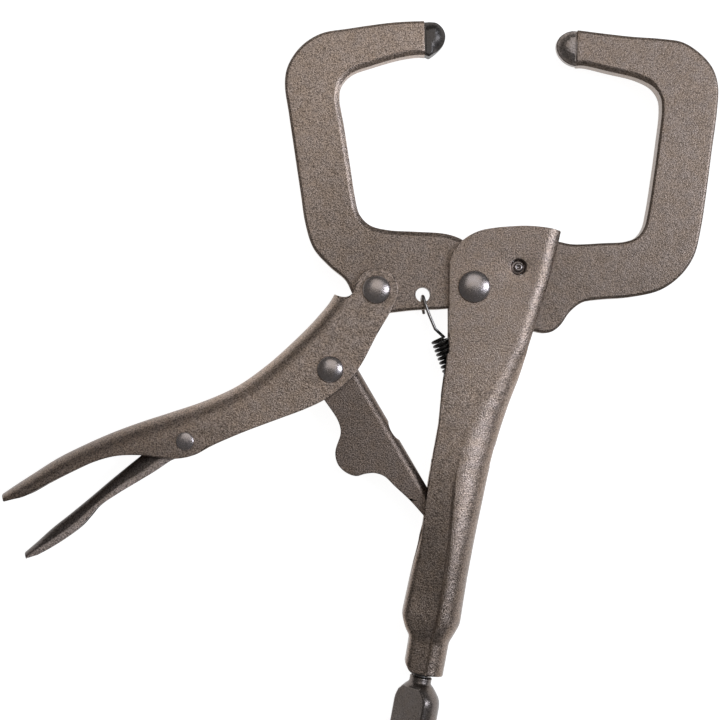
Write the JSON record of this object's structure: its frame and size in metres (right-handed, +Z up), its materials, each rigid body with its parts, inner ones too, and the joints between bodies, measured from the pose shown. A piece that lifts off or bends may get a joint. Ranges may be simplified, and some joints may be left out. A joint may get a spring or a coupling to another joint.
{
  "type": "locking c clamp",
  "caption": "Locking C clamp: over-centre lever handle closes a moving C jaw against a fixed one, with an adjusting screw in the handle and a release lever.",
  "frame": {"origin": "bottom centre of the clamp's bounding box, with the clamp lying flat on its side", "axes": "+Y towards the jaw tips, +Z up through the thickness of the clamp, +X towards the fixed jaw's side"},
  "size_m": [0.266, 0.2732, 0.0186],
  "materials": {
    "arm_moving": "fine blasted dull bronze-grey",
    "arm_fixed": "fine blasted dull bronze-grey",
    "handle_sheet": "fine blasted dark grey-brown",
    "lever_sheet": "fine blasted dark grey-brown",
    "link_sheet": "fine blasted dark grey-brown",
    "release_sheet": "fine blasted dark grey-brown",
    "rivet": "pressed, satin",
    "screw": "satin",
    "knob": "turned, satin",
    "wire": "drawn dark wire"
  },
  "bodies": {
    "handle": {"main_handle": "handle_sheet", "fixed_jaw": "arm_fixed", "fixed_jaw_dowel": "rivet", "jaw_pivot_rivet": "rivet", "return_spring": "wire"},
    "jaw": {"moving_jaw": "arm_moving", "lever_rivet": "rivet"},
    "lever": {"lever_handle": "lever_sheet", "toggle_rivet": "rivet", "release_rivet": "rivet"},
    "link": {"toggle_link": "link_sheet"},
    "release": {"release_lever": "release_sheet"},
    "screw_slide": {"screw_nose": "screw"},
    "screw": {"adjusting_screw": "screw", "adjusting_knob": "knob"}
  },
  "joints": [
    {"name": "jaw_pivot", "type": "hinge", "parent": "handle", "child": "jaw", "pos_m": [0.0424, 0.03787, 0.0093], "axis": [0, 0, -1], "range_deg": [0, 25], "stiffness_Nm_per_rad": 0.4, "springref_deg": -20.05, "deforming": ["return_spring"]},
    {"name": "lever_pivot", "type": "hinge", "parent": "jaw", "child": "lever", "pos_m": [0.0063, 0.03687, 0.0093], "axis": [0, 0, 1], "range_deg": [0, 67.5]},
    {"name": "toggle_pivot", "type": "hinge", "parent": "lever", "child": "link", "pos_m": [-0.0108, 0.00737, 0.0093], "axis": [0, 0, -1], "range_deg": [0, 64.5]},
    {"name": "release_pivot", "type": "hinge", "parent": "lever", "child": "release", "pos_m": [-0.0644, -0.01912, 0.0093], "axis": [0, 0, -1], "range_deg": [-4, 10]},
    {"name": "screw_travel", "type": "slide", "parent": "handle", "child": "screw_slide", "axis": [-0.183, -0.9831, 0], "range_m": [0, 0.015]},
    {"name": "screw_turn", "type": "hinge", "parent": "screw_slide", "child": "screw", "pos_m": [0.0231, -0.10612, 0.0093], "axis": [-0.183, -0.9831, 0], "range_deg": [0, 4321]}
  ],
  "couplings": [
    {"joint": "lever_pivot", "follows": "jaw_pivot", "ratio": 2.6848},
    {"joint": "toggle_pivot", "follows": "jaw_pivot", "ratio": 2.5631},
    {"joint": "screw_turn", "follows": "screw_travel", "rad_per_m": 5026.5}
  ]
}
